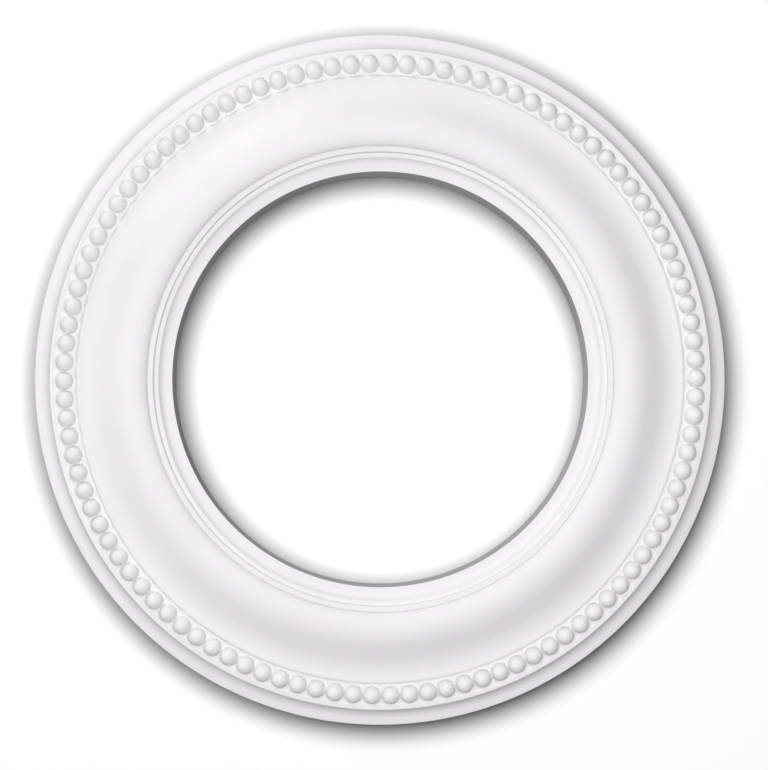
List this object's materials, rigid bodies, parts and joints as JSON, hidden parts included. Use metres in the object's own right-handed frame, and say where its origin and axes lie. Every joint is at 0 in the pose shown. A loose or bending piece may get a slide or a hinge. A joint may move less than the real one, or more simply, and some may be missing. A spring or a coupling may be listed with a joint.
{
  "type": "ceiling rose",
  "caption": "Ring-shaped ceiling rose moulded in white, with a stepped inner edge, a broad ogee, a band of round beads and a coved rim, for fixing flat to a ceiling round a light.",
  "frame": {"origin": "centre of the ring in the plane of its flat back, where the back meets the ceiling", "axes": "+Z along the ring's axis, out of the moulded face; +Y towards the small mark on the inner lip. On a ceiling the part is turned over, so that +Z points down"},
  "size_m": [0.4999, 0.5, 0.0265],
  "materials": {
    "moulding": "hard polyurethane foam with a smooth white primer coat, satin to matt"
  },
  "bodies": {
    "root": {"ceiling_rose": "moulding"}
  },
  "joints": []
}
